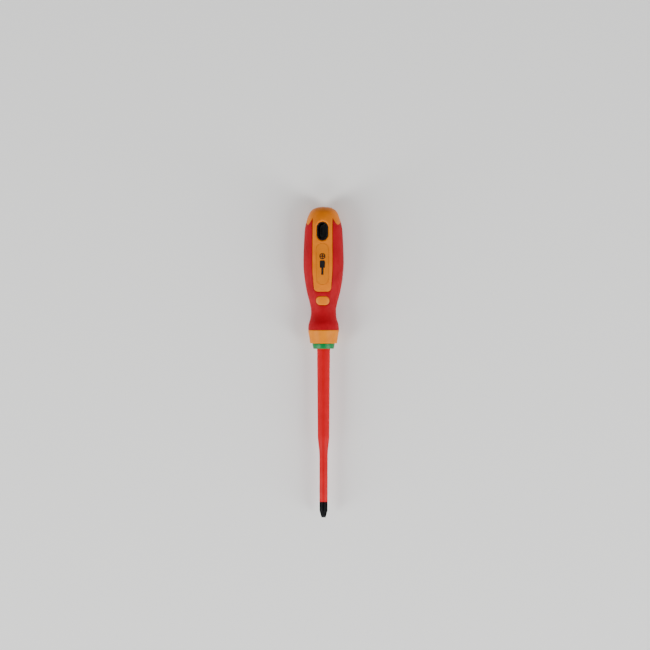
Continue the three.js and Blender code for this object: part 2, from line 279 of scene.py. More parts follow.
@dataclass(frozen=True)
class Windows:
    """Where the hard core comes up through the soft grip, and what is let into it."""

    strip_half: float = 9.0
    strip_end_half: float = 7.9
    strip_start: float = 33.9
    strip_taper: float = 19.0
    strip_corner: float = 4.0
    oval_at: float = 26.0
    oval_width: float = 12.5
    oval_height: float = 7.9
    lobe_from_butt: float = 16.2
    lobe_angle: float = 58.0
    lobe_roundness: float = 1.6
    strip_spike_rise: float = 6.0
    side_spike_rise: float = 3.6
    spike_end_height: float = 0.67
    liner_clearance: float = 0.3

    def strip(self, x: np.ndarray, y: np.ndarray) -> np.ndarray:
        """Distance outside the long strip with its rounded lower end."""
        low = FORM.grip_start + self.strip_start
        widening = np.clip((y - low - self.strip_corner) / (self.strip_taper - self.strip_corner), 0.0, 1.0)
        half = self.strip_end_half + (self.strip_half - self.strip_end_half) * widening
        past_side = np.abs(x) - half + self.strip_corner
        past_end = low + self.strip_corner - y
        outside = np.hypot(np.maximum(past_side, 0.0), np.maximum(past_end, 0.0))
        inside = np.minimum(np.maximum(past_side, past_end), 0.0)
        return outside + inside - self.strip_corner

    def oval(self, x: np.ndarray, y: np.ndarray) -> np.ndarray:
        """Distance outside the oval window above the neck."""
        return slot_distance(x, y, FORM.grip_start + self.oval_at, self.oval_width, self.oval_height)

    def cap_edge(self, angle: np.ndarray) -> np.ndarray:
        """Distance from the tip of the butt cap's scalloped edge, at an angle from the label face."""
        from_flat = np.abs(np.degrees(np.arcsin(np.clip(np.sin(angle), -1.0, 1.0))))
        crown = FORM.belly_radius - FORM.crown_narrowing
        strip_angle = math.degrees(math.atan2(self.strip_half, crown * self.spike_end_height))
        to_strip = np.clip((self.lobe_angle - from_flat) / (self.lobe_angle - strip_angle), 0.0, 1.0)
        to_side = np.clip((from_flat - self.lobe_angle) / (90.0 - self.lobe_angle), 0.0, 1.0)
        rise = self.strip_spike_rise * to_strip**self.lobe_roundness
        rise = rise + self.side_spike_rise * to_side**self.lobe_roundness
        return FORM.butt - self.lobe_from_butt + rise

    def cap(self, angle: np.ndarray, y: np.ndarray) -> np.ndarray:
        """Distance below the butt cap's edge, along the surface."""
        turn = 0.01
        climb = (self.cap_edge(angle + turn) - self.cap_edge(angle - turn)) / (2 * turn)
        slope = climb / np.maximum(FORM.radius(y), 1.0)
        return (self.cap_edge(angle) - y) / np.sqrt(1.0 + slope**2)

    def grip_field(self, angle: np.ndarray, y: np.ndarray) -> np.ndarray:
        """Distance into the soft grip from the nearest window's edge, negative on the hard core."""
        x = FORM.radius(y) * np.sin(angle)
        return np.minimum(np.minimum(self.strip(x, y), self.oval(x, y)), self.cap(angle, y))

    def hole_size(self) -> tuple[float, float, float]:
        """Centre, width and length of the hang hole, from the liner that fits it."""
        start, end = BENCH.span("hang_hole_liner")
        gap = 2 * self.liner_clearance
        return (start + end) / 2, BENCH.width("hang_hole_liner") + gap, end - start + gap

    def hole_field(self, angle: np.ndarray, y: np.ndarray) -> np.ndarray:
        """Distance outside the hang hole in the plan view."""
        return slot_distance(FORM.radius(y) * np.sin(angle), y, *self.hole_size())

    def plaque_field(self, angle: np.ndarray, y: np.ndarray) -> np.ndarray:
        """Distance outside the label inlay in the plan view."""
        start, end = BENCH.span("front_plaque")
        width = BENCH.width("front_plaque")
        return slot_distance(FORM.radius(y) * np.sin(angle), y, (start + end) / 2, width, end - start)


WINDOWS = Windows()


# ---------------------------------------------------------------------------- mesh work


def turned(bm: bmesh.types.BMesh, outline: Points, steps: int, closed: bool = False) -> None:
    """Spin an outline of [radius, y] pairs once round the blade's axis.

    Args:
        bm: Mesh that receives the turned surface.
        outline: Pairs in order along the outline.
        steps: Number of faces round the axis.
        closed: Whether the last point joins the first.
    """
    verts = [bm.verts.new((0.0, y, radius)) for radius, y in outline]
    edges = [bm.edges.new(pair) for pair in zip(verts, verts[1:])]
    if closed:
        edges.append(bm.edges.new((verts[-1], verts[0])))
    bmesh.ops.spin(
        bm, geom=verts + edges, cent=(0.0, 0.0, 0.0), axis=(0.0, 1.0, 0.0), dvec=(0.0, 0.0, 0.0),
        angle=math.tau, steps=steps, use_merge=True, use_duplicate=False,
    )
    bmesh.ops.remove_doubles(bm, verts=bm.verts, dist=1e-4)
    bmesh.ops.recalc_face_normals(bm, faces=bm.faces)


def polar(verts: Sequence[bmesh.types.BMVert]) -> tuple[np.ndarray, np.ndarray]:
    """Angles from the label face and distances from the tip of some vertices."""
    place = np.array([v.co for v in verts], float).reshape(-1, 3)
    return np.arctan2(place[:, 0], place[:, 2]), place[:, 1]


def move_to(verts: Sequence[bmesh.types.BMVert], places: np.ndarray) -> None:
    """Put vertices at the rows of an array."""
    for vert, place in zip(verts, places):
        vert.co = place


def refine(bm: bmesh.types.BMesh, fields: Sequence[Field], reaches: Sequence[float]) -> None:
    """Halve the faces near the zero lines of some fields, once for each reach.

    Args:
        bm: Mesh in its turned form.
        fields: Signed distances whose zero lines need fine faces.
        reaches: Distance on each side of a line that each round of halving covers.
    """
    for reach in reaches:
        verts = bm.verts[:]
        angle, y = polar(verts)
        nearest = np.min([np.abs(distance(angle, y)) for distance in fields], axis=0)
        edges = {edge for vert, gap in zip(verts, nearest) if gap < reach for edge in vert.link_edges}
        bmesh.ops.subdivide_edges(bm, edges=list(edges), cuts=1, use_grid_fill=True)


def snap_to(verts: Sequence[bmesh.types.BMVert], distance: Field, target: float) -> None:
    """Slide vertices along the turned surface until a field has its target value there.

    Args:
        verts: Vertices near the line where the field has that value.
        distance: Signed distance field over angle and y.
        target: Value wanted at every vertex.
    """
    angle, y = polar(verts)
    step = 0.02
    longest = 0.3
    flattest = 0.05
    rounds = 4
    for _ in range(rounds):
        radius = FORM.radius(y)
        turn = step / radius
        miss = distance(angle, y) - target
        across = (distance(angle + turn, y) - distance(angle - turn, y)) / (2 * step)
        along = (distance(angle, y + step) - distance(angle, y - step)) / (2 * step)
        size = np.maximum(across**2 + along**2, flattest)
        slide = np.clip(miss / np.sqrt(size), -longest, longest) / np.sqrt(size)
        angle = angle - slide * across / radius
        y = y - slide * along
    radius = FORM.radius(y)
    move_to(verts, np.stack([radius * np.sin(angle), y, radius * np.cos(angle)], 1))


def settle(bm: bmesh.types.BMesh, distance: Field, target: float, reach: float = 0.13) -> None:
    """Bring the vertices nearest to a field's line onto it, so that a step there gets a clean edge."""
    verts = bm.verts[:]
    angle, y = polar(verts)
    close = np.abs(distance(angle, y) - target) < reach
    snap_to([vert for vert, near in zip(verts, close) if near], distance, target)


def cut_away(
    bm: bmesh.types.BMesh, faces: Sequence[bmesh.types.BMFace], distance: Field, target: float,
) -> None:
    """Delete those of some faces where a field is under a value.

    Args:
        bm: Mesh that the faces belong to.
        faces: Faces that may go.
        distance: Signed distance field over angle and y.
        target: Value under which a face is deleted.
    """
    middle = np.array([face.calc_center_median() for face in faces], float)
    values = distance(np.arctan2(middle[:, 0], middle[:, 2]), middle[:, 1])
    doomed = [face for face, value in zip(faces, values) if value < target]
    bmesh.ops.delete(bm, geom=doomed, context="FACES")


def extruded(bm: bmesh.types.BMesh) -> list[bmesh.types.BMVert]:
    """Extrude a whole sheet on the spot and give back its new vertices."""
    grown = bmesh.ops.extrude_face_region(bm, geom=bm.faces[:], use_keep_orig=True)["geom"]
    return [item for item in grown if isinstance(item, bmesh.types.BMVert)]


def trim(bm: bmesh.types.BMesh, distance: Field, target: float) -> None:
    """Keep the faces where a field is over a value, with a clean edge on the line itself."""
    reach = 0.8
    cut_away(bm, bm.faces[:], distance, target)
    rim = [vert for vert in bm.verts if vert.is_boundary]
    angle, y = polar(rim)
    close = np.abs(distance(angle, y) - target) < reach
    snap_to([vert for vert, near in zip(rim, close) if near], distance, target)


def rounded_corners(bm: bmesh.types.BMesh, angle: float, radius: float, segments: int = 3) -> None:
    """Bevel every edge that turns by more than an angle.

    Args:
        bm: Closed mesh.
        angle: Smallest turn of an edge that is rounded, in degrees.
        radius: Width of the rounding.
        segments: Faces across the rounding.
    """
    sharp = [
        edge for edge in bm.edges
        if len(edge.link_faces) == 2 and edge.calc_face_angle(0.0) > math.radians(angle)
    ]
    bmesh.ops.bevel(
        bm, geom=sharp, offset=radius, offset_type="OFFSET", affect="EDGES", segments=segments,
        profile=0.5, material=-1, clamp_overlap=True,
    )


def finished(bm: bmesh.types.BMesh, name: str, finish: "Finish", nodes: Sequence[str]) -> bpy.types.Object:
    """Turn a bench mesh into a named, dressed object that rides on the frame.

    Args:
        bm: Mesh in bench millimetres; it is freed here.
        name: Name of the new piece.
        finish: Surface that the piece gets.
        nodes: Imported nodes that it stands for.

    Returns:
        The new object, at the origin.
    """
    BENCH.place(bm)
    mesh = bpy.data.meshes.new(name)
    bm.to_mesh(mesh)
    bm.free()
    mesh.shade_smooth()
    mesh.set_sharp_from_angle(angle=math.radians(SHARP_ANGLE))
    piece = bpy.data.objects.new(name, mesh)
    bpy.context.scene.collection.objects.link(piece)
    mesh.materials.append(finish.material())
    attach(piece, BODY)
    if nodes:
        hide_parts(*nodes)
    LOG.info("%s: %d faces", name, len(mesh.polygons))
    return piece


# ---------------------------------------------------------------------------- finishes


def linear(colour: str) -> tuple[float, float, float, float]:
    """Turn an sRGB hex colour into the linear values that a shader socket takes."""
    values = [int(colour[i:i + 2], 16) / 255 for i in (1, 3, 5)]
    plain = [v / 12.92 if v <= 0.04045 else ((v + 0.055) / 1.055) ** 2.4 for v in values]
    return plain[0], plain[1], plain[2], 1.0


def per_metre(size_mm: float) -> float:
    """Scale of a noise whose features are a real size across."""
    return 1.0 / (size_mm * MM)


def add_node(
    tree: bpy.types.NodeTree, kind: str, inputs: dict | None = None, **settings: object,
) -> bpy.types.Node:
    """Add a node, set it up, and fill or link its inputs.

    Args:
        tree: Node tree that receives the node.
        kind: Blender's name of the node type.
        inputs: Input names or numbers with a value, or with the socket that feeds them.
        **settings: Properties of the node itself.

    Returns:
        The new node.
    """
    node = tree.nodes.new(kind)
    for name, value in settings.items():
        setattr(node, name, value)
    for key, value in (inputs or {}).items():
        if isinstance(value, bpy.types.NodeSocket):
            tree.links.new(value, node.inputs[key])
        else:
            node.inputs[key].default_value = value
    return node


@dataclass(frozen=True)
class Finish:
    """A surface: a slot name and the plain values of its shader."""

    title: str
    slot: str
    colour: str
    roughness: float
    ior: float = 1.49
    metallic: float = 0.0
    gloss_level: float = 0.5

    def material(self) -> bpy.types.Material:
        """Material of this finish, made the first time it is asked for."""
        known = bpy.data.materials.get(self.title)
        if known:
            return known
        material = bpy.data.materials.new(self.title)
        material.use_nodes = True
        tree = material.node_tree
        tree.nodes.clear()
        output = add_node(tree, "ShaderNodeOutputMaterial")
        shader = add_node(tree, "ShaderNodeBsdfPrincipled", {
            "Base Color": linear(self.colour),
            "Roughness": self.roughness,
            "Metallic": self.metallic,
            "Specular IOR Level": self.gloss_level,
        })
        if not self.metallic:
            shader.inputs["IOR"].default_value = self.ior
        tree.links.new(shader.outputs["BSDF"], output.inputs["Surface"])
        where = add_node(tree, "ShaderNodeTexCoord").outputs["Object"]
        self.detail(tree, shader, where)
        return material

    def detail(self, tree: bpy.types.NodeTree, shader: bpy.types.Node, where: bpy.types.NodeSocket) -> None:
        """Add what the bare shader lacks. A plain finish adds nothing."""


@dataclass(frozen=True)
class MouldedPlastic(Finish):
    """Moulded plastic: the spark-eroded grain of the mould, flow marks, a parting line and light scuffs."""

    second_colour: str = "#000000"
    grain_mm: float = 0.45
    grain_depth_mm: float = 0.02
    flow_mm: float = 9.0
    roughness_swing: float = 0.07
    scuff_depth_mm: float = 0.0
    parting_depth_mm: float = 0.0
    stretch: tuple[float, float, float] = (1.0, 1.0, 1.0)

    def detail(self, tree: bpy.types.NodeTree, shader: bpy.types.Node, where: bpy.types.NodeSocket) -> None:
        """Lay the flow marks, the mould's grain, the parting line and the scuffs over the plastic.

        Args:
            tree: Node tree of the material.
            shader: Its base shader.
            where: Object coordinates, in metres.
        """
        stretched = add_node(tree, "ShaderNodeMapping", {"Vector": where, "Scale": self.stretch})
        drawn = stretched.outputs["Vector"]
        self.flow_marks(tree, shader, where, drawn)
        bump = add_node(tree, "ShaderNodeBump", {
            "Height": self.grain(tree, drawn), "Strength": 0.6, "Distance": self.grain_depth_mm * MM,
        })
        if self.parting_depth_mm:
            bump = self.parting_line(tree, where, bump)
        if self.scuff_depth_mm:
            bump = self.scuffs(tree, where, bump)
        tree.links.new(bump.outputs["Normal"], shader.inputs["Normal"])

    def flow_marks(
        self, tree: bpy.types.NodeTree, shader: bpy.types.Node, where: bpy.types.NodeSocket,
        drawn: bpy.types.NodeSocket,
    ) -> None:
        """Vary the colour in slow clouds and the gloss in smaller smears, as handled plastic does.

        Args:
            tree: Node tree of the material.
            shader: Its base shader.
            where: Object coordinates, in metres.
            drawn: The same, stretched along the way the plastic was drawn.
        """
        flow = add_node(tree, "ShaderNodeTexNoise", {
            "Vector": where, "Scale": per_metre(self.flow_mm), "Detail": 4.0, "Roughness": 0.6,
        })
        cloud = add_node(tree, "ShaderNodeMapRange", {
            "Value": flow.outputs["Fac"], "From Min": 0.35, "From Max": 0.65,
        })
        tint = add_node(tree, "ShaderNodeMix", {
            "Factor": cloud.outputs["Result"], 6: linear(self.colour), 7: linear(self.second_colour),
        }, data_type="RGBA")
        tree.links.new(tint.outputs[2], shader.inputs["Base Color"])
        smear = add_node(tree, "ShaderNodeTexNoise", {
            "Vector": drawn, "Scale": per_metre(self.flow_mm / 3), "Detail": 4.0, "Distortion": 0.6,
        })
        gloss = add_node(tree, "ShaderNodeMapRange", {
            "Value": smear.outputs["Fac"], "From Min": 0.3, "From Max": 0.7,
            "To Min": self.roughness - self.roughness_swing, "To Max": self.roughness + self.roughness_swing,
        })
        tree.links.new(gloss.outputs["Result"], shader.inputs["Roughness"])

    def grain(self, tree: bpy.types.NodeTree, drawn: bpy.types.NodeSocket) -> bpy.types.NodeSocket:
        """Height of the fine grain that a spark-eroded mould leaves.

        Args:
            tree: Node tree of the material.
            drawn: Object coordinates, stretched along the way the plastic was drawn.

        Returns:
            A socket with heights from 0 to 1.
        """
        return add_node(tree, "ShaderNodeTexNoise", {
            "Vector": drawn, "Scale": per_metre(self.grain_mm), "Detail": 2.0,
        }).outputs["Fac"]

    def parting_line(
        self, tree: bpy.types.NodeTree, where: bpy.types.NodeSocket, under: bpy.types.Node,
    ) -> bpy.types.Node:
        """Raise the witness line where the halves of the mould met, at the height of the blade's axis.

        Args:
            tree: Node tree of the material.
            where: Object coordinates, in metres.
            under: Bump node of the grain.

        Returns:
            The bump node that holds both.
        """
        height = add_node(tree, "ShaderNodeSeparateXYZ", {"Vector": where}).outputs["Z"]
        off = add_node(tree, "ShaderNodeMath", {0: height, 1: BENCH.axis * MM}, operation="SUBTRACT")
        away = add_node(tree, "ShaderNodeMath", {0: off.outputs["Value"]}, operation="ABSOLUTE")
        ridge = add_node(tree, "ShaderNodeMapRange", {
            "Value": away.outputs["Value"], "From Min": 0.06 * MM, "From Max": 0.22 * MM,
            "To Min": 1.0, "To Max": 0.0,
        }, interpolation_type="SMOOTHSTEP")
        return add_node(tree, "ShaderNodeBump", {
            "Height": ridge.outputs["Result"], "Strength": 0.8, "Distance": self.parting_depth_mm * MM,
            "Normal": under.outputs["Normal"],
        })

    def scuffs(
        self, tree: bpy.types.NodeTree, where: bpy.types.NodeSocket, under: bpy.types.Node,
    ) -> bpy.types.Node:
        """Add hair scratches on top of the grain.

        Args:
            tree: Node tree of the material.
            where: Object coordinates, in metres.
            under: Bump node of what lies below.

        Returns:
            The bump node that holds both.
        """
        aslant = add_node(tree, "ShaderNodeMapping", {
            "Vector": where, "Rotation": (0.3, 0.2, 0.9), "Scale": (1.0, 0.05, 1.0),
        })
        hairs = add_node(tree, "ShaderNodeTexNoise", {
            "Vector": aslant.outputs["Vector"], "Scale": per_metre(0.7), "Detail": 1.0,
        })
        few = add_node(tree, "ShaderNodeMapRange", {
            "Value": hairs.outputs["Fac"], "From Min": 0.66, "From Max": 0.72, "To Min": 1.0, "To Max": 0.0,
        })
        return add_node(tree, "ShaderNodeBump", {
            "Height": few.outputs["Result"], "Strength": 0.5, "Distance": self.scuff_depth_mm * MM,
            "Normal": under.outputs["Normal"],
        })


@dataclass(frozen=True)
class SoftElastomer(MouldedPlastic):
    """Rubbery overmould with an etched pebble grain that takes the shine off and gives hold.

    The etched pebbles are about 0.4 mm across and are drawn nearly twice as coarse, or they wouldn't show.
    """

    pebble_mm: float = 0.75

    def grain(self, tree: bpy.types.NodeTree, drawn: bpy.types.NodeSocket) -> bpy.types.NodeSocket:
        """Height of the pebble grain, broken up by the finer roughness of the etch.

        Args:
            tree: Node tree of the material.
            drawn: Object coordinates.

        Returns:
            A socket with heights from 0 to about 1.
        """
        fine = super().grain(tree, drawn)
        pebbles = add_node(tree, "ShaderNodeTexVoronoi", {
            "Vector": drawn, "Scale": per_metre(self.pebble_mm), "Smoothness": 0.4, "Randomness": 0.9,
        }, feature="SMOOTH_F1")
        domes = add_node(tree, "ShaderNodeMapRange", {
            "Value": pebbles.outputs["Distance"], "From Min": 0.1, "From Max": 0.7,
            "To Min": 1.0, "To Max": 0.0,
        })
        return add_node(tree, "ShaderNodeMath", {
            0: fine, 1: 0.35, 2: domes.outputs["Result"],
        }, operation="MULTIPLY_ADD").outputs["Value"]


@dataclass(frozen=True)
class BlackenedSteel(Finish):
    """Chrome-vanadium steel, ground, phosphate-blackened and oiled; only its very end is rubbed paler."""

    edge_tint: str = "#2A2A2A"
    worn_colour: str = "#6E6E72"
    worn_share: float = 0.2
    worn_length_mm: float = 2.5
    grinding_mm: float = 0.3

    def detail(self, tree: bpy.types.NodeTree, shader: bpy.types.Node, where: bpy.types.NodeSocket) -> None:
        """Add grinding lines round the shank, mottled black and the wear at the very end.

        Args:
            tree: Node tree of the material.
            shader: Its base shader.
            where: Object coordinates, in metres.
        """
        shader.inputs["Specular Tint"].default_value = linear(self.edge_tint)
        mottle = add_node(tree, "ShaderNodeTexNoise", {
            "Vector": where, "Scale": per_metre(1.6), "Detail": 5.0, "Roughness": 0.65,
        })
        along = add_node(tree, "ShaderNodeSeparateXYZ", {"Vector": where})
        from_end = add_node(tree, "ShaderNodeMapRange", {
            "Value": along.outputs["Y"], "From Min": BENCH.tip * MM,
            "From Max": (BENCH.tip + self.worn_length_mm) * MM, "To Min": self.worn_share, "To Max": 0.0,
        })
        patchy = add_node(tree, "ShaderNodeMath", {
            0: from_end.outputs["Result"], 1: mottle.outputs["Fac"],
        }, operation="MULTIPLY")
        worn = add_node(tree, "ShaderNodeMix", {
            "Factor": patchy.outputs["Value"], 6: linear(self.colour), 7: linear(self.worn_colour),
        }, data_type="RGBA")
        tree.links.new(worn.outputs[2], shader.inputs["Base Color"])
        gloss = add_node(tree, "ShaderNodeMapRange", {
            "Value": mottle.outputs["Fac"], "From Min": 0.3, "From Max": 0.7,
            "To Min": self.roughness - 0.08, "To Max": self.roughness + 0.1,
        })
        tree.links.new(gloss.outputs["Result"], shader.inputs["Roughness"])
        lines_map = add_node(tree, "ShaderNodeMapping", {"Vector": where, "Scale": (0.15, 1.0, 0.15)})
        lines = add_node(tree, "ShaderNodeTexNoise", {
            "Vector": lines_map.outputs["Vector"], "Scale": per_metre(self.grinding_mm), "Detail": 2.0,
        })
        bump = add_node(tree, "ShaderNodeBump", {
            "Height": lines.outputs["Fac"], "Strength": 0.5, "Distance": 0.02 * MM,
        })
        tree.links.new(bump.outputs["Normal"], shader.inputs["Normal"])


class Palette(Enum):
    """Every finish of the tool.

    The gloss levels are low because the grain breaks up most of what the broad lights would mirror. The
    grain of a spark-eroded mould is about 0.05 mm across, and die lines and grinding lines are finer
    still, so all of them are drawn several times coarser than real, which is the finest that shows.
    """

    # Chrome-vanadium steel, ground, blackened and oiled: near black, with a dull sheen along the wings.
    STEEL = BlackenedSteel("blackened_tool_steel", "blackened_steel", "#18181A", 0.4, metallic=1.0)
    # Flexible PVC, extruded over the blade: smooth, with faint lines along it from the die.
    SLEEVE = MouldedPlastic(
        "extruded_red_pvc", "red_insulation", "#BA0212", 0.42, ior=1.53, gloss_level=0.09,
        second_colour="#C40314", grain_mm=0.7, grain_depth_mm=0.02, stretch=(1.0, 0.06, 1.0),
        scuff_depth_mm=0.01,
    )
    # The same plastic in bright yellow, extruded first: only its cut end is seen, plain and even.
    WARNING = MouldedPlastic(
        "extruded_yellow_pvc", "yellow_insulation", "#E6B41C", 0.5, ior=1.53, second_colour="#DCA816",
    )
    # Polypropylene, injection-moulded in a spark-eroded mould: satin, with a witness line at the sides.
    CORE = MouldedPlastic(
        "orange_yellow_polypropylene", "orange_yellow_core", "#DC7700", 0.42, gloss_level=0.14,
        second_colour="#D06D00", grain_mm=0.5, grain_depth_mm=0.018, scuff_depth_mm=0.012,
        parting_depth_mm=0.05,
    )
    # Thermoplastic elastomer, moulded over the core in an etched mould: matt and pebbled, soft to the eye.
    GRIP = SoftElastomer(
        "red_soft_elastomer", "red_soft_grip", "#A90418", 0.6, ior=1.5, gloss_level=0.1,
        second_colour="#970312", grain_mm=0.3, grain_depth_mm=0.09, flow_mm=12.0, roughness_swing=0.06,
        parting_depth_mm=0.06,
    )
    # Polypropylene in a lighter yellow, moulded on its own: a little smoother than the core.
    COLLAR = MouldedPlastic(
        "light_yellow_polypropylene", "yellow_collar", "#DC7F00", 0.40, gloss_level=0.09,
        second_colour="#D17400", grain_mm=0.5, grain_depth_mm=0.015, scuff_depth_mm=0.01,
        parting_depth_mm=0.05,
    )
    # ABS from a polished mould: the glossiest part, with soft highlights on its rims.
    RING = MouldedPlastic(
        "green_polished_abs", "green_ring", "#02783C", 0.34, ior=1.54, gloss_level=0.13,
        second_colour="#026F36", grain_mm=0.6, grain_depth_mm=0.01,
    )
    # ABS from a plain mould, dull black: painted shade, a dark sleeve that makes the hole read as deep where
    # the open hole is dark only by its own shadow.
    SHADE_LINER = MouldedPlastic(
        "black_painted_shade_abs", "black_liner", "#060607", 0.6, ior=1.54, gloss_level=0.3,
        second_colour="#0A0A0B", grain_mm=0.5, grain_depth_mm=0.03,
    )
    # Polypropylene from a finely eroded mould: a shade darker than the strip round it, and even for print.
    INLAY = MouldedPlastic(
        "orange_inlay_polypropylene", "label_inlay", "#CF7300", 0.45, gloss_level=0.14,
        second_colour="#C56B00", grain_mm=0.4, grain_depth_mm=0.015,
    )
    # Pad-printed ink: a flat black film with slightly uneven gloss.
    INK = MouldedPlastic(
        "black_pad_ink", "label_inlay", "#0B0B0C", 0.45, ior=1.5, gloss_level=0.3, second_colour="#111112",
        grain_mm=0.6, grain_depth_mm=0.004, roughness_swing=0.1,
    )


# ---------------------------------------------------------------------------- the blade and its sleeves


@dataclass(frozen=True)
class Blade:
    """Steel blade with a cross tip of four wings, turned down under the thin sleeve."""

    tip_radius: float = 3.6
    end_radius: float = 1.9
    cone_length: float = 6.2
    flutes_length: float = 10.5
    flute_core: float = 0.9
    flute_half_angle: float = 46.0
    flute_root: float = 0.12
    slim_radius: float = 2.5
    shank_radius: float = 3.6
    step_start: float = 56.0
    step_end: float = 72.0
    end_chamfer: float = 0.8
    wing_setback: float = 22.0
    wing_length: float = 11.0
    wing_thickness: float = 2.8
    row: float = 0.22
    steps: int = 144
    spare: float = 1.0
    flute_run_out: float = 0.1
    groove_blend: float = 0.12

    def build(self) -> list[bpy.types.Object]:
        """Make the blade and report it.

        Returns:
            The blade's one piece.
        """
        bm = bmesh.new()
        turned(bm, self.outline(), self.steps)
        self.cut_flutes(bm)
        self.draw_out_wings(bm)
        return [finished(bm, "cross_tip_blade", Palette.STEEL.value, ["blade"])]

    def outline(self) -> list[tuple[float, float]]:
        """Turned outline of the rod, with close rows where the flutes come."""
        hairline = 0.03
        rim = 0.15
        bare_end = BENCH.span("insulation_outer")[0] - hairline
        blade_end = BENCH.span("blade")[1]
        face = [(r, 0.0) for r in np.arange(0.0, self.end_radius - self.row / 2, self.row)]
        edge = 0.15
        cone_from = (self.end_radius, edge)
        count = round(self.cone_length / self.row)
        cone = [
            (
                cone_from[0] + (self.tip_radius - cone_from[0]) * i / count,
                cone_from[1] + (self.cone_length - cone_from[1]) * i / count,
            )
            for i in range(count + 1)
        ]
        rows = round((self.flutes_length + self.spare - self.cone_length) / self.row)
        neck = [(self.tip_radius, self.cone_length + self.row * (i + 1)) for i in range(rows)]
        shoulder = 0.05
        wings = [(self.shank_radius, at + side) for at in self.wing_span() for side in (-shoulder, shoulder)]
        rear = [
            (self.tip_radius, bare_end - rim), (self.tip_radius - rim, bare_end),
            (self.slim_radius, bare_end), (self.slim_radius, self.step_start),
            (self.shank_radius, self.step_end), *wings, (self.shank_radius, blade_end - self.end_chamfer),
            (self.shank_radius - self.end_chamfer, blade_end), (0.0, blade_end),
        ]
        return face + cone + neck + rear

    def cut_flutes(self, bm: bmesh.types.BMesh) -> None:
        """Push the surface in to four leaning V grooves that leave the cross of wings."""
        verts = [v for v in bm.verts if v.co.y < self.flutes_length + self.spare]
        place = np.array([v.co for v in verts], float)
        radius = np.hypot(place[:, 0], place[:, 2])
        angle = np.arctan2(place[:, 0], place[:, 2])
        to_groove = np.mod(angle, math.pi / 2) - math.pi / 4
        climb = (self.tip_radius + self.flute_run_out - self.flute_core) / self.flutes_length
        root = self.flute_core + place[:, 1] * climb
        side = np.sqrt(np.sin(to_groove) ** 2 + self.flute_root**2) - self.flute_root
        opening = np.cos(to_groove) - side / math.tan(math.radians(self.flute_half_angle))
        groove = np.where(opening > 1e-3, root / np.maximum(opening, 1e-3), FAR)
        pressed = soft_minimum(radius, groove, self.groove_blend)
        pressed = np.where(radius < 1e-6, 0.0, np.minimum(np.maximum(pressed, 0.0), radius))
        move_to(verts, np.stack([pressed * np.sin(angle), place[:, 1], pressed * np.cos(angle)], 1))
        bmesh.ops.remove_doubles(bm, verts=verts, dist=2e-3)

    def wing_span(self) -> tuple[float, float]:
        """First and last distance from the tip that the wings cover."""
        centre = BENCH.span("blade")[1] - self.wing_setback
        return centre - self.wing_length / 2, centre + self.wing_length / 2

    def draw_out_wings(self, bm: bmesh.types.BMesh) -> None:
        """Draw the shank out at both sides into the flattened wings that hold it in the handle."""
        start, end = self.wing_span()
        for vert in bm.verts:
            if start < vert.co.y < end and abs(vert.co.z) < self.wing_thickness / 2:
                vert.co.x = math.copysign(BENCH.width("blade") / 2, vert.co.x)


@dataclass(frozen=True)
class Insulation:
    """Two sleeves over the blade: the yellow warning layer and the red outer one."""

    step_ease: float = 1.5
    root: float = 150.0
    layer_gap: float = 0.1
    slim: tuple[float, float] = (0.45, 0.55)
    thick: tuple[float, float] = (0.65, 0.75)
    root_layer: tuple[float, float] = (0.65, 1.35)
    steps: int = 96
    ease_rows: int = 25
    blade: Blade = field(default_factory=Blade)

    def build(self) -> list[bpy.types.Object]:
        """Make both sleeves.

        Returns:
            The warning layer and the outer sleeve.
        """
        under = (self.blade.slim_radius, self.blade.shank_radius, self.blade.shank_radius)
        pieces = []
        names = (
            ("warning_layer", Palette.WARNING, "insulation_inner"),
            ("outer_sleeve", Palette.SLEEVE, "insulation_outer"),
        )
        for i, (name, finish, node) in enumerate(names):
            inside = tuple(radius + self.layer_gap for radius in under)
            walls = (self.slim[i], self.thick[i], self.root_layer[i])
            outside = tuple(radius + wall for radius, wall in zip(inside, walls))
            bm = bmesh.new()
            turned(bm, self.outline(inside, outside, BENCH.span(node)), self.steps, closed=True)
            pieces.append(finished(bm, name, finish.value, [node]))
            under = outside
        return pieces

    def outline(
        self, inside: Sequence[float], outside: Sequence[float], span: tuple[float, float],
    ) -> list[tuple[float, float]]:
        """Closed outline of one sleeve, with a rounded front edge and soft ends to its cone.

        Args:
            inside: Bore radii at the slim, thick and root stations.
            outside: Outer radii at the same stations.
            span: First and last distance from the tip.

        Returns:
            Pairs of radius and y.
        """
        start, end = span
        edge = 0.18
        front = [
            (outside[0] - edge * (1 - math.sin(a)), start + edge * (1 - math.cos(a)))
            for a in (0.0, math.pi / 6, math.pi / 3, math.pi / 2)
        ]
        step_start, step_end = self.blade.step_start, self.blade.step_end
        first, last = step_start - self.step_ease, step_end + self.step_ease
        past_step = (outside[2] - outside[1]) * self.step_ease / (self.root - step_end)
        rise = outside[1] + past_step - outside[0]
        ease = [
            (outside[0] + rise * share * share * (3 - 2 * share), first + (last - first) * share)
            for share in np.linspace(0.0, 1.0, self.ease_rows)
        ]
        back = [
            (outside[2], self.root), (outside[2], end), (inside[2], end), (inside[2], self.root),
            (inside[1], step_end), (inside[0], step_start), (inside[0], start),
        ]
        return front + ease + back


# ---------------------------------------------------------------------------- the handle


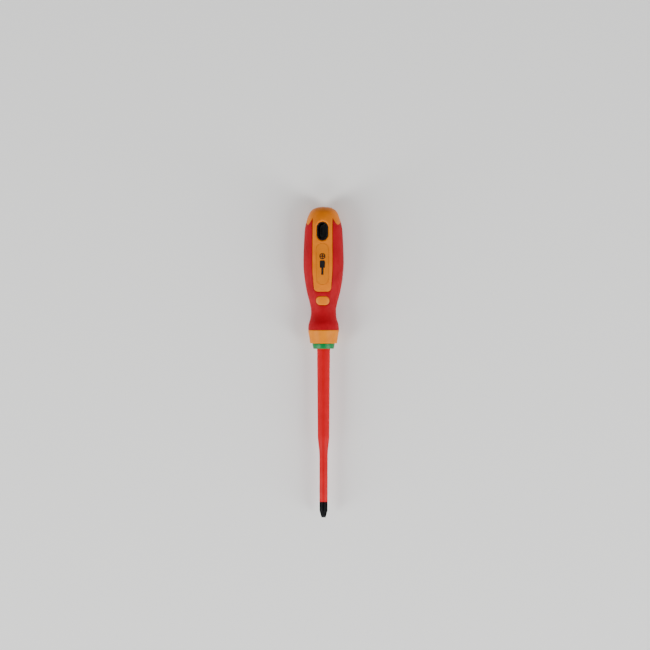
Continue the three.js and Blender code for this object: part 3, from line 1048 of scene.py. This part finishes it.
@dataclass(frozen=True)
class Mouth:
    """Green colour ring and yellow finger guard at the mouth of the handle."""

    nose_bore: float = 6.1
    nose_radius: float = 7.4
    gap: float = 0.3
    ring_front: float = 9.1
    ring_back: float = 10.1
    ring_wall: float = 1.3
    guard_front: float = 12.0
    guard_back: float = 13.95
    hairline: float = 0.02
    guard_hollow: float = 0.12
    guard_rows: int = 13
    corner_angle: float = 50.0
    corner_faces: int = 4
    ring_rounding: float = 0.45
    guard_rounding: float = 0.6
    ring_steps: int = 96
    guard_steps: int = 128

    def build(self) -> list[bpy.types.Object]:
        """Make the ring and the finger guard.

        Returns:
            Both pieces.
        """
        return [self.ring(), self.guard()]

    def ring(self) -> bpy.types.Object:
        """Shallow cup over the nose, with rounded rims."""
        start = BENCH.span("colour_ring")[0]
        end = BENCH.span("collar")[0] - self.hairline
        inner = self.nose_radius + self.gap
        bm = bmesh.new()
        outline = [
            (self.nose_bore, start), (self.ring_front, start), (self.ring_back, end),
            (inner, end), (inner, start + self.ring_wall), (self.nose_bore, start + self.ring_wall),
        ]
        turned(bm, outline, self.ring_steps, closed=True)
        rounded_corners(bm, self.corner_angle, self.ring_rounding, self.corner_faces)
        return finished(bm, "green_colour_ring", Palette.RING.value, ["colour_ring"])

    def guard(self) -> bpy.types.Object:
        """Flared collar with a slightly hollow side and soft rims."""
        start = BENCH.span("collar")[0]
        end = BENCH.span("soft_grip")[0] - self.hairline
        inner = self.nose_radius + self.gap
        bm = bmesh.new()
        side = [
            (
                self.guard_front + (self.guard_back - self.guard_front) * share
                - self.guard_hollow * math.sin(math.pi * share),
                start + (end - start) * share,
            )
            for share in np.linspace(0.0, 1.0, self.guard_rows)
        ]
        turned(bm, [(inner, start)] + side + [(inner, end)], self.guard_steps, closed=True)
        rounded_corners(bm, self.corner_angle, self.guard_rounding, self.corner_faces)
        return finished(bm, "finger_guard", Palette.COLLAR.value, ["collar"])


@dataclass(frozen=True)
class Handle:
    """Two-shot handle: the hard core with its cap and strips, and the soft grip moulded round it."""

    grip_thickness: float = 2.4
    core_depth: float = 2.6
    seam: float = 0.07
    edge: float = 0.55
    grip_edge: float = 0.15
    hole_edge: float = 1.3
    pocket_margin: float = 0.2
    pocket_depth: float = 1.25
    pocket_edge: float = 0.12
    land_rise: float = 0.24
    rim_edge: float = 0.4
    nose_front: float = 151.6
    shoulder_setback: float = 0.2
    touch: float = 0.01
    ease_length: float = 2.5
    spare: float = 2.0
    land_reaches: tuple[float, float] = (1.5, 0.7)
    pocket_reaches: tuple[float, float] = (1.6, 0.6)
    steps: int = 128
    spacing: float = 0.9
    mouth: Mouth = field(default_factory=Mouth)

    def build(self) -> list[bpy.types.Object]:
        """Make the core and the grip.

        Returns:
            Both pieces.
        """
        return [self.core(), self.grip()]

    def core_offset(self, angle: np.ndarray, y: np.ndarray) -> np.ndarray:
        """How far the hard core lies under the handle's outside."""
        into_land = self.touch - self.seam - WINDOWS.grip_field(angle, y)
        from_hole = WINDOWS.hole_field(angle, y)
        from_pocket = WINDOWS.plaque_field(angle, y) - self.pocket_margin + self.touch
        depth = edge_round(into_land, self.edge)
        depth = np.maximum(depth, edge_round(from_hole, self.hole_edge))
        depth = np.maximum(depth, edge_round(from_pocket, self.pocket_edge))
        depth = np.where(from_pocket < 0.0, self.pocket_depth, depth)
        return np.where(into_land < 0.0, self.core_depth, depth)

    def core(self) -> bpy.types.Object:
        """Hard core, from its nose to the butt, with its pocket for the blade and the hang hole."""
        bore = self.mouth.nose_bore
        shank_bore = Blade().shank_radius + self.mouth.gap
        sleeve_end = BENCH.span("insulation_outer")[1] + self.mouth.gap
        blade_end = BENCH.span("blade")[1] + self.mouth.gap
        shoulder = FORM.grip_start + self.shoulder_setback
        side = even_steps(FORM.side(), self.spacing)
        side = side[side[:, 1] > shoulder + self.spacing / 2]
        outline = [
            (0.0, blade_end), (shank_bore, blade_end), (shank_bore, sleeve_end), (bore, sleeve_end),
            (bore, self.nose_front), (self.mouth.nose_radius, self.nose_front),
            (self.mouth.nose_radius, shoulder),
            (float(FORM.radius(np.array(shoulder))), shoulder),
        ] + [tuple(pair) for pair in side]
        outline[-1] = (0.0, FORM.butt)
        bm = bmesh.new()
        turned(bm, outline, self.steps)
        land = self.outer_only(WINDOWS.grip_field)
        pocket = self.outer_only(WINDOWS.plaque_field)
        refine(bm, [land], self.land_reaches)
        refine(bm, [pocket, self.outer_only(WINDOWS.hole_field)], self.pocket_reaches)
        settle(bm, land, -self.seam)
        settle(bm, pocket, self.pocket_margin)
        self.open_hole(bm)
        self.press_skin(bm)
        bmesh.ops.remove_doubles(bm, verts=bm.verts, dist=1e-3)
        return finished(bm, "hard_core", Palette.CORE.value, ["handle_core"])

    def outer_only(self, distance: Field) -> Field:
        """Field that counts only on the handle's own length, so the nose and the bore stay plain."""
        def limited(angle: np.ndarray, y: np.ndarray) -> np.ndarray:
            """The field, or a large value ahead of the first window."""
            first = FORM.grip_start + WINDOWS.oval_at - WINDOWS.oval_height
            return np.where(y > first, distance(angle, y), FAR)
        return limited

    def is_skin(self, vert: bmesh.types.BMVert) -> bool:
        """Whether a vertex of the core is on its outside rather than in its bore or on its nose."""
        on_length = FORM.grip_start < vert.co.y < FORM.butt - FORM.dome_cap
        return on_length and math.hypot(vert.co.x, vert.co.z) > self.mouth.nose_radius + 0.5

    def open_hole(self, bm: bmesh.types.BMesh) -> None:
        """Cut the hang hole through the front and back and wall it."""
        faces = [face for face in bm.faces if all(self.is_skin(vert) for vert in face.verts)]
        cut_away(bm, faces, WINDOWS.hole_field, 0.0)
        rim_edges = [edge for edge in bm.edges if edge.is_boundary]
        rim = list({vert for edge in rim_edges for vert in edge.verts})
        snap_to(rim, WINDOWS.hole_field, 0.0)
        bmesh.ops.bridge_loops(bm, edges=rim_edges)
        bmesh.ops.recalc_face_normals(bm, faces=bm.faces)

    def press_skin(self, bm: bmesh.types.BMesh) -> None:
        """Give the turned skin its flats, and sink it wherever the grip or an inlay lies over it."""
        verts = [vert for vert in bm.verts if self.is_skin(vert)]
        angle, y = polar(verts)
        depth = self.core_offset(angle, y)[:, None]
        move_to(verts, FORM.point(angle, y) - FORM.normal(angle, y) * depth)

    def grip_offset(self, angle: np.ndarray, y: np.ndarray) -> np.ndarray:
        """How far the grip's face lies under the handle's outside: rounded and a touch lower at its edges."""
        from_edge = WINDOWS.grip_field(angle, y) - self.seam
        easing = np.clip(1.0 - from_edge / self.ease_length, 0.0, 1.0) ** 2
        from_front = y - FORM.grip_start
        depth = edge_round(from_edge, self.grip_edge) + self.land_rise * easing
        return np.maximum(depth, edge_round(from_front, self.rim_edge))

    def grip(self) -> bpy.types.Object:
        """Soft grip as one closed shell with its windows."""
        side = even_steps(FORM.side(), self.spacing)
        top = FORM.butt - WINDOWS.lobe_from_butt + WINDOWS.strip_spike_rise + self.spare
        side = side[side[:, 1] < top]
        rim_rows = FORM.grip_start + self.rim_edge * np.linspace(0.0, 1.0, 5)
        outline = [(float(FORM.radius(y)), float(y)) for y in rim_rows]
        outline += [tuple(pair) for pair in side if pair[1] > rim_rows[-1] + 0.3]
        bm = bmesh.new()
        turned(bm, outline, self.steps)
        refine(bm, [WINDOWS.grip_field], self.land_reaches)
        trim(bm, WINDOWS.grip_field, self.seam)
        thicken(bm, self.grip_offset, self.grip_thickness)
        return finished(bm, "soft_grip_shell", Palette.GRIP.value, ["soft_grip"])


def thicken(bm: bmesh.types.BMesh, offset: Field, thickness: float) -> None:
    """Turn a turned sheet into a closed shell whose outside follows the handle's form.

    Args:
        bm: Open sheet in its turned form.
        offset: How far the shell's face lies under the handle's outside.
        thickness: How far its underside lies under the handle's outside.
    """
    under = bm.verts[:]
    face = extruded(bm)
    for verts, depth in ((under, None), (face, offset)):
        angle, y = polar(verts)
        sink = np.full(len(verts), thickness) if depth is None else depth(angle, y)
        move_to(verts, FORM.point(angle, y) - FORM.normal(angle, y) * sink[:, None])
    bmesh.ops.recalc_face_normals(bm, faces=bm.faces)


@dataclass(frozen=True)
class Inlays:
    """Label inlays let into the front and back strips, and the sign printed on the front one."""

    recess: float = 0.08
    edge: float = 0.15
    thickness: float = 1.1
    ink: float = 0.04
    sign_width: float = 5.4
    line: float = 0.95
    corner: float = 0.8
    steps: int = 136
    spacing: float = 0.8
    spare: float = 2.0
    reaches: tuple[float, float] = (1.4, 0.6)
    cross_at: float = 6.6
    cross_share: float = 1.25
    grip_at: float = -0.4
    grip_share: float = 0.85
    grip_length: float = 6.6
    shank_at: float = -6.8
    shank_width: float = 1.9
    shank_length: float = 6.2

    def build(self) -> list[bpy.types.Object]:
        """Make both inlays and the printed sign.

        Returns:
            The inlays, front first, and the sign's parts.
        """
        pieces = [self.inlay(side) for side in Side]
        pieces.append(self.sign())
        return pieces

    def inlay(self, side: Side) -> bpy.types.Object:
        """One inlay, with its face a hair under the strip."""
        node = "front_plaque" if side is Side.FRONT else "back_plaque"

        def inside(angle: np.ndarray, y: np.ndarray) -> np.ndarray:
            """Distance inside the inlay's outline, negative on the other face of the handle."""
            facing = np.cos(angle) * side.value
            return np.where(facing > 0.0, -WINDOWS.plaque_field(angle, y), -FAR)

        def offset(angle: np.ndarray, y: np.ndarray) -> np.ndarray:
            """Recess of the face and its rounded edge."""
            return self.recess + edge_round(inside(angle, y), self.edge)

        start, end = BENCH.span(node)
        path = even_steps(FORM.side(), self.spacing)
        path = path[(path[:, 1] > start - self.spare) & (path[:, 1] < end + self.spare)]
        bm = bmesh.new()
        turned(bm, [tuple(pair) for pair in path], self.steps)
        refine(bm, [inside], self.reaches)
        trim(bm, inside, 0.0)
        thicken(bm, offset, self.thickness)
        return finished(bm, f"{side.name.lower()}_inlay", Palette.INLAY.value, [node])

    def sign(self) -> bpy.types.Object:
        """Plain printed sign: a cross in a ring over the outline of a driver."""
        start, end = BENCH.span("front_plaque")
        middle = (start + end) / 2
        radius = self.sign_width / 2
        bm = bmesh.new()
        arm = radius * self.cross_share
        self.print_ring(bm, middle + self.cross_at, radius)
        for size in ((self.line, arm), (arm, self.line)):
            self.print_bar(bm, middle + self.cross_at, *size)
        self.print_bar(bm, middle + self.grip_at, self.sign_width * self.grip_share, self.grip_length)
        self.print_bar(bm, middle + self.shank_at, self.shank_width, self.shank_length)
        self.wrap(bm)
        return finished(bm, "printed_sign", Palette.INK.value, [])

    def print_bar(self, bm: bmesh.types.BMesh, at: float, width: float, length: float) -> None:
        """Print a bar with its corners cut, centred on the blade's line."""
        corners = bmesh.ops.create_grid(bm, x_segments=4, y_segments=6, size=0.5)["verts"]
        bmesh.ops.scale(bm, vec=(width, length, 1.0), verts=corners)
        bmesh.ops.translate(bm, vec=(0.0, at, 0.0), verts=corners)
        bmesh.ops.bevel(
            bm, geom=[vert for vert in corners if len(vert.link_edges) == 2],
            offset=min(self.corner, width * 0.2, length * 0.12), affect="VERTICES", segments=4,
            profile=0.5, material=-1,
        )

    def print_ring(self, bm: bmesh.types.BMesh, at: float, radius: float) -> None:
        """Print a ring."""
        made = bmesh.ops.create_circle(bm, cap_ends=True, segments=64, radius=radius)["verts"]
        bmesh.ops.translate(bm, vec=(0.0, at, 0.0), verts=made)
        disc = [face for face in bm.faces if set(face.verts) == set(made)]
        bmesh.ops.inset_region(bm, faces=disc, thickness=self.line, use_boundary=True, use_even_offset=True)
        bmesh.ops.delete(bm, geom=disc, context="FACES_ONLY")

    def wrap(self, bm: bmesh.types.BMesh) -> None:
        """Lay the flat print on the inlay as a thin film of ink."""
        below = bm.verts[:]
        above = extruded(bm)
        for verts, rise in ((below, -self.ink), (above, self.ink)):
            place = np.array([vert.co for vert in verts], float)
            angle = np.arcsin(place[:, 0] / FORM.radius(place[:, 1]))
            surface = FORM.point(angle, place[:, 1])
            surface[:, 2] += rise - self.recess
            move_to(verts, surface)
        bmesh.ops.recalc_face_normals(bm, faces=bm.faces)


@dataclass(frozen=True)
class HangHole:
    """Black sleeve that lines the hang hole: painted shade standing in for the shadow inside the open hole.
    """

    wall: float = 0.8
    below_flat: float = 1.35
    segments: int = 64
    rim_angle: float = 60.0
    rim_rounding: float = 0.25

    def build(self) -> list[bpy.types.Object]:
        """Make the sleeve.

        Returns:
            The sleeve.
        """
        centre, _, _ = WINDOWS.hole_size()
        start, end = BENCH.span("hang_hole_liner")
        width = BENCH.width("hang_hole_liner")
        top = FORM.flat_height - self.below_flat
        bm = bmesh.new()
        edges = []
        for inset in (0.0, self.wall):
            edges += self.slot_loop(bm, centre, width - 2 * inset, end - start - 2 * inset, top)
        bmesh.ops.bridge_loops(bm, edges=edges)
        bmesh.ops.translate(bm, vec=(0.0, 0.0, -2 * top), verts=extruded(bm))
        bmesh.ops.recalc_face_normals(bm, faces=bm.faces)
        rounded_corners(bm, self.rim_angle, self.rim_rounding)
        # The dull black sleeve is painted shade: it darkens the hole where only its shadow would be.
        return [finished(bm, "hang_hole_shade_sleeve", Palette.SHADE_LINER.value, ["hang_hole_liner"])]

    def slot_loop(
        self, bm: bmesh.types.BMesh, centre: float, width: float, length: float, height: float,
    ) -> list[bmesh.types.BMEdge]:
        """Make a slot-shaped loop: a circle whose halves are pulled apart along the handle.

        Args:
            bm: Mesh that receives the loop.
            centre: Distance of the slot's middle from the tip.
            width: Size across the handle.
            length: Size along the handle.
            height: Height over the blade's axis.

        Returns:
            The loop's edges.
        """
        turn = Matrix.Rotation(math.pi / self.segments, 4, "Z")
        ring = bmesh.ops.create_circle(bm, segments=self.segments, radius=width / 2, matrix=turn)["verts"]
        far = [vert for vert in ring if vert.co.y > 0.0]
        near = [vert for vert in ring if vert.co.y < 0.0]
        reach = (length - width) / 2
        bmesh.ops.translate(bm, vec=(0.0, centre + reach, height), verts=far)
        bmesh.ops.translate(bm, vec=(0.0, centre - reach, height), verts=near)
        return list({edge for vert in ring for edge in vert.link_edges})


# ---------------------------------------------------------------------------- the studio


@dataclass(frozen=True)
class Studio:
    """Pale floor, a long soft box low on each side, a faint fill and the camera over the tool."""

    floor_size: float = 4.2
    floor_colour: str = "#F2F2F0"
    floor_roughness: float = 0.9
    floor_drop_mm: float = 0.05
    room_colour: str = "#F4F5F7"
    camera_distance: float = 2.4
    camera_lean: float = 4.0
    sensor: float = 36.0
    view_width: float = 0.578
    look_at: tuple[float, float] = (0.0013, 0.033)
    box_power: float = 112.0
    fill_power: float = 40.0
    wall_light: float = 0.85
    ceiling_light: float = 0.22
    box_place: tuple[float, float, float] = (2.4, -1.3, 1.5)
    box_size: tuple[float, float] = (0.9, 2.8)
    fill_place: tuple[float, float, float] = (0.0, -2.7, 2.2)
    fill_size: tuple[float, float] = (2.0, 1.1)

    def build(self) -> None:
        """Make the floor, the lights and the camera."""
        self.floor()
        across, along, height = self.box_place
        self.soft_box("left_box", (-across, along, height), self.box_size, self.box_power)
        self.soft_box("right_box", (across, along, height), self.box_size, self.box_power)
        self.soft_box("tip_fill", self.fill_place, self.fill_size, self.fill_power)
        self.surroundings()
        self.camera()

    def floor(self) -> None:
        """Lay the floor just under the tool."""
        bm = bmesh.new()
        bmesh.ops.create_grid(bm, x_segments=8, y_segments=8, size=self.floor_size / 2)
        bmesh.ops.translate(bm, vec=(0.0, 0.0, -self.floor_drop_mm * MM), verts=bm.verts)
        mesh = bpy.data.meshes.new("studio_floor")
        bm.to_mesh(mesh)
        bm.free()
        paper = bpy.data.materials.new("matt_studio_paper")
        paper.use_nodes = True
        shader = paper.node_tree.nodes["Principled BSDF"]
        shader.inputs["Base Color"].default_value = linear(self.floor_colour)
        shader.inputs["Roughness"].default_value = self.floor_roughness
        mesh.materials.append(paper)
        floor = bpy.data.objects.new("studio_floor", mesh)
        bpy.context.scene.collection.objects.link(floor)

    def soft_box(
        self, name: str, place: tuple[float, float, float], size: tuple[float, float], power: float,
    ) -> None:
        """Hang a rectangular soft light that faces the tool.

        Args:
            name: Name of the light.
            place: Its position in metres.
            size: Width and length of its face in metres.
            power: Its power in watts.
        """
        light = bpy.data.lights.new(name, "AREA")
        light.shape = "RECTANGLE"
        light.size, light.size_y = size
        light.energy = power
        lamp = bpy.data.objects.new(name, light)
        lamp.location = place
        lamp.rotation_euler = (-Vector(place)).to_track_quat("-Z", "Y").to_euler()
        bpy.context.scene.collection.objects.link(lamp)

    def surroundings(self) -> None:
        """Fill the room with soft light: pale walls under a dim ceiling."""
        world = bpy.data.worlds.new("studio_room")
        world.use_nodes = True
        tree = world.node_tree
        backdrop = tree.nodes["Background"]
        backdrop.inputs["Color"].default_value = linear(self.room_colour)
        towards = add_node(tree, "ShaderNodeTexCoord").outputs["Generated"]
        height = add_node(tree, "ShaderNodeSeparateXYZ", {"Vector": towards}).outputs["Z"]
        glow = add_node(tree, "ShaderNodeMapRange", {
            "Value": height, "From Min": 0.05, "From Max": 0.55,
            "To Min": self.wall_light, "To Max": self.ceiling_light,
        })
        tree.links.new(glow.outputs["Result"], backdrop.inputs["Strength"])
        bpy.context.scene.world = world

    def camera(self) -> None:
        """Hang the camera over the tool, a little to the right, with the butt at the top of the picture."""
        data = bpy.data.cameras.new("overhead_camera")
        data.sensor_width = self.sensor
        data.lens = self.sensor * self.camera_distance / self.view_width
        eye = bpy.data.objects.new("overhead_camera", data)
        lean = math.radians(self.camera_lean)
        eye.location = (
            self.look_at[0] + self.camera_distance * math.sin(lean),
            self.look_at[1],
            BENCH.axis * MM + self.camera_distance * math.cos(lean),
        )
        eye.rotation_euler = (0.0, lean, 0.0)
        bpy.context.scene.collection.objects.link(eye)
        bpy.context.scene.camera = eye


def main() -> None:
    """Build the studio and every sub-assembly, and report each piece."""
    logging.basicConfig(level=logging.INFO, format="%(name)s: %(message)s")
    Studio().build()
    assemblies = (Blade(), Insulation(), Mouth(), Handle(), Inlays(), HangHole())
    for assembly in assemblies:
        for piece in assembly.build():
            LOG.info("built %s for %s", piece.name, type(assembly).__name__)


if __name__ == "__main__":
    main()
